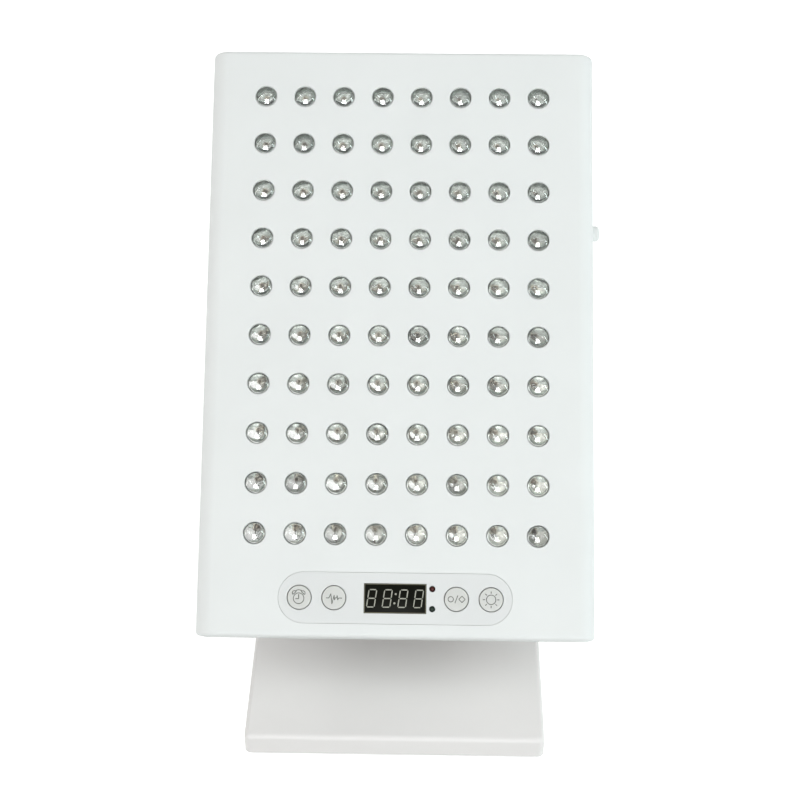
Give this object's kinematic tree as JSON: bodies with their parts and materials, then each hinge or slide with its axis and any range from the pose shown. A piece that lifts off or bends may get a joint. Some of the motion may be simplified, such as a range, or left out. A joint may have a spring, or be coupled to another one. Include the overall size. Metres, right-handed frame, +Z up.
{
  "type": "tabletop LED light panel",
  "caption": "Tabletop LED beauty panel: a rounded rectangular face of domed lenses over a pill-shaped control strip, leaned back on a friction hinge over a weighted rectangular base.",
  "frame": {"origin": "centre of the underside of the stand's non-slip pad, on the table", "axes": "+Z up, the front of the base and the lit face towards -Y, +X to the viewer's right"},
  "size_m": [0.2005, 0.2681, 0.2651],
  "materials": {
    "white_housing": "satin",
    "white_insert": "gloss",
    "key_cap": "satin",
    "display_black": "gloss",
    "indicator_red": "gloss",
    "indicator_green": "gloss",
    "lamp": "clear lenses",
    "circuit_board": "satin",
    "aluminium": "as extruded",
    "steel": "zinc plated",
    "black_plastic": "satin",
    "lead_jacket": "matte",
    "rubber": "matte"
  },
  "bodies": {
    "stand": {"base_shell": "white_housing", "base_cover": "black_plastic", "ballast_plate": "steel", "non_slip_pad": "rubber", "stand_post": "white_housing", "hinge_pin": "steel", "friction_washer_left": "steel", "friction_washer_right": "steel", "hinge_cap_left": "white_housing", "hinge_cap_right": "white_housing", "base_screw_1": "steel", "base_screw_2": "steel", "base_screw_3": "steel", "base_screw_4": "steel", "post_screw_1": "steel", "post_screw_2": "steel", "post_screw_3": "steel", "post_screw_4": "steel"},
    "panel": {"front_housing": "white_housing", "rear_cover": "white_housing", "control_insert": "white_insert", "display_module": "display_black", "indicator_upper": "indicator_red", "indicator_lower": "indicator_green", "control_board": "circuit_board", "buzzer": "black_plastic", "driver_board": "circuit_board", "heat_sink": "aluminium", "fan_frame": "black_plastic", "power_switch": "black_plastic", "power_inlet": "black_plastic", "inlet_lead": "lead_jacket", "lamp_lead": "lead_jacket", "fan_lead": "lead_jacket", "hinge_bracket": "white_housing", "lamp_strip_01": "lamp", "lamp_strip_02": "lamp", "lamp_strip_03": "lamp", "lamp_strip_04": "lamp", "lamp_strip_05": "lamp", "lamp_strip_06": "lamp", "lamp_strip_07": "lamp", "lamp_strip_08": "lamp", "lamp_strip_09": "lamp", "lamp_strip_10": "lamp", "cover_screw_1": "steel", "cover_screw_2": "steel", "cover_screw_3": "steel", "cover_screw_4": "steel", "bracket_screw_1": "steel", "bracket_screw_2": "steel", "bracket_screw_3": "steel", "bracket_screw_4": "steel"},
    "key_timer": {"key_timer": "key_cap"},
    "key_pulse": {"key_pulse": "key_cap"},
    "key_mode": {"key_mode": "key_cap"},
    "key_brightness": {"key_brightness": "key_cap"},
    "power_button": {"power_button": "white_housing"},
    "fan_rotor": {"fan_rotor": "black_plastic"}
  },
  "joints": [
    {"name": "panel_tilt", "type": "hinge", "parent": "stand", "child": "panel", "pos_m": [0, -0.0167, 0.0471], "axis": [1, 0, 0], "range_deg": [-42, 48]},
    {"name": "key_timer_press", "type": "slide", "parent": "panel", "child": "key_timer", "axis": [0, 0.6691, -0.7431], "range_m": [0, 0.0004], "stiffness_N_per_m": 800, "springref_m": -0.001},
    {"name": "key_pulse_press", "type": "slide", "parent": "panel", "child": "key_pulse", "axis": [0, 0.6691, -0.7431], "range_m": [0, 0.0004], "stiffness_N_per_m": 800, "springref_m": -0.001},
    {"name": "key_mode_press", "type": "slide", "parent": "panel", "child": "key_mode", "axis": [0, 0.6691, -0.7431], "range_m": [0, 0.0004], "stiffness_N_per_m": 800, "springref_m": -0.001},
    {"name": "key_brightness_press", "type": "slide", "parent": "panel", "child": "key_brightness", "axis": [0, 0.6691, -0.7431], "range_m": [0, 0.0004], "stiffness_N_per_m": 800, "springref_m": -0.001},
    {"name": "power_button_press", "type": "slide", "parent": "panel", "child": "power_button", "axis": [-1, 0, 0], "range_m": [0, 0.002], "stiffness_N_per_m": 600, "springref_m": -0.002},
    {"name": "fan_spin", "type": "hinge", "parent": "panel", "child": "fan_rotor", "pos_m": [0, 0.06221, 0.14776], "axis": [0, 0.6691, -0.7431], "continuous": true}
  ]
}
